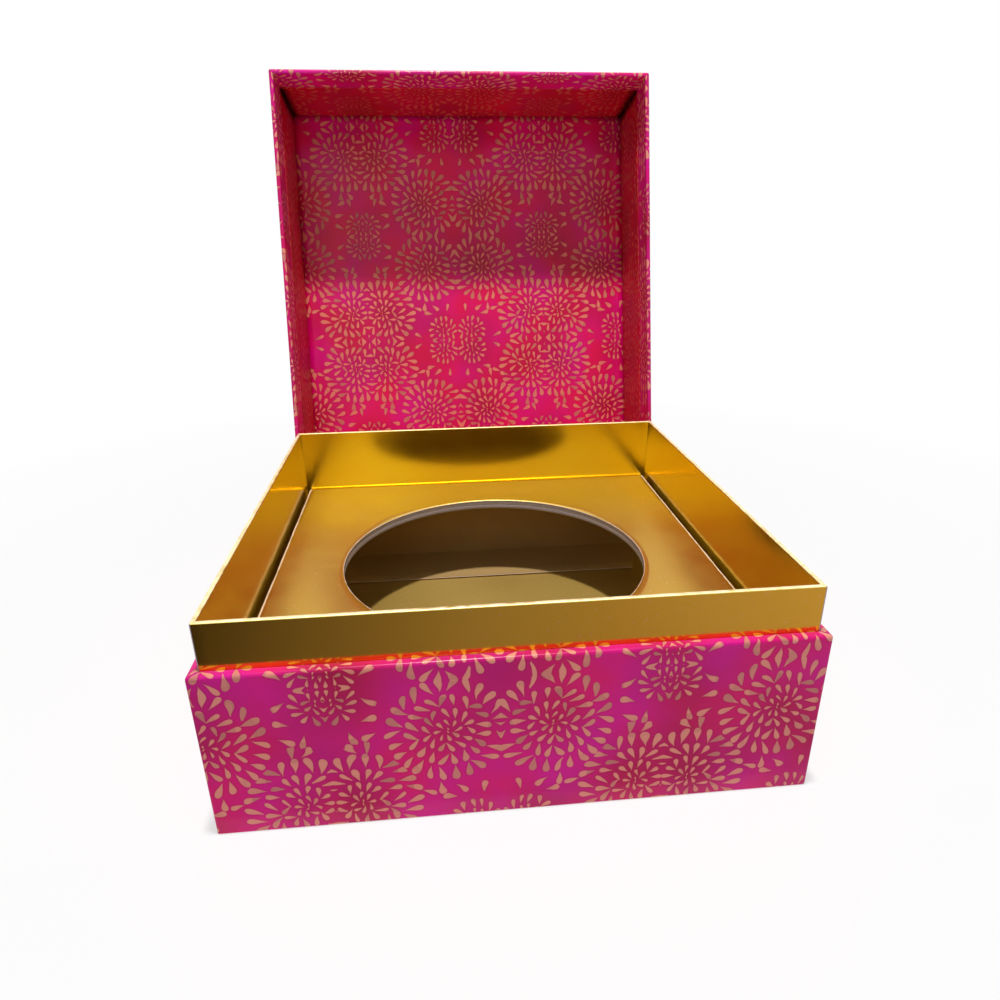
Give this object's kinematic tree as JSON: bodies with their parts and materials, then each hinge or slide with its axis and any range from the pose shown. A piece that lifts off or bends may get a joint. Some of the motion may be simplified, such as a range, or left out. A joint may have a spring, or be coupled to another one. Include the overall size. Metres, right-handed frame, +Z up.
{
  "type": "rigid gift box",
  "caption": "Square rigid sweet box: papered tray with a raised gold neck, a gold platform with a round cut-out, and a deep lid hinged at the back.",
  "frame": {"origin": "middle of the underside, on the surface that the box stands on", "axes": "+Z up; +Y from the open front to the hinged back; +X to the right as seen from the front; the lid is stored open as pictured"},
  "size_m": [0.203, 0.3107, 0.2581],
  "materials": {
    "greyboard": "matt, raw",
    "stay_tape": "matt kraft",
    "printed_paper": "satin print",
    "printed_lining": "satin print",
    "plain_paper": "matt",
    "gold_foil": "mirror metallised",
    "gold_card": "satin metallised"
  },
  "bodies": {
    "base": {"base_board_tray": "greyboard", "base_corner_stays": "stay_tape", "base_wrap": "printed_paper", "base_bottom_paper": "plain_paper", "base_floor_liner": "gold_card", "neck_board": "greyboard", "neck_foil": "gold_foil", "insert_card": "gold_card", "insert_board_upper": "greyboard", "insert_board_lower": "greyboard", "hinge_strip_base_leaf": "printed_paper"},
    "lid": {"lid_board_tray": "greyboard", "lid_corner_stays": "stay_tape", "lid_wrap": "printed_paper", "lid_wall_lining": "printed_lining", "lid_panel_lining": "printed_paper", "hinge_strip_lid_leaf": "printed_paper"}
  },
  "joints": [
    {"name": "lid_hinge", "type": "hinge", "parent": "base", "child": "lid", "pos_m": [0, 0.1017, 0.06215], "axis": [-1, 0, 0], "range_deg": [-105, 72]}
  ]
}
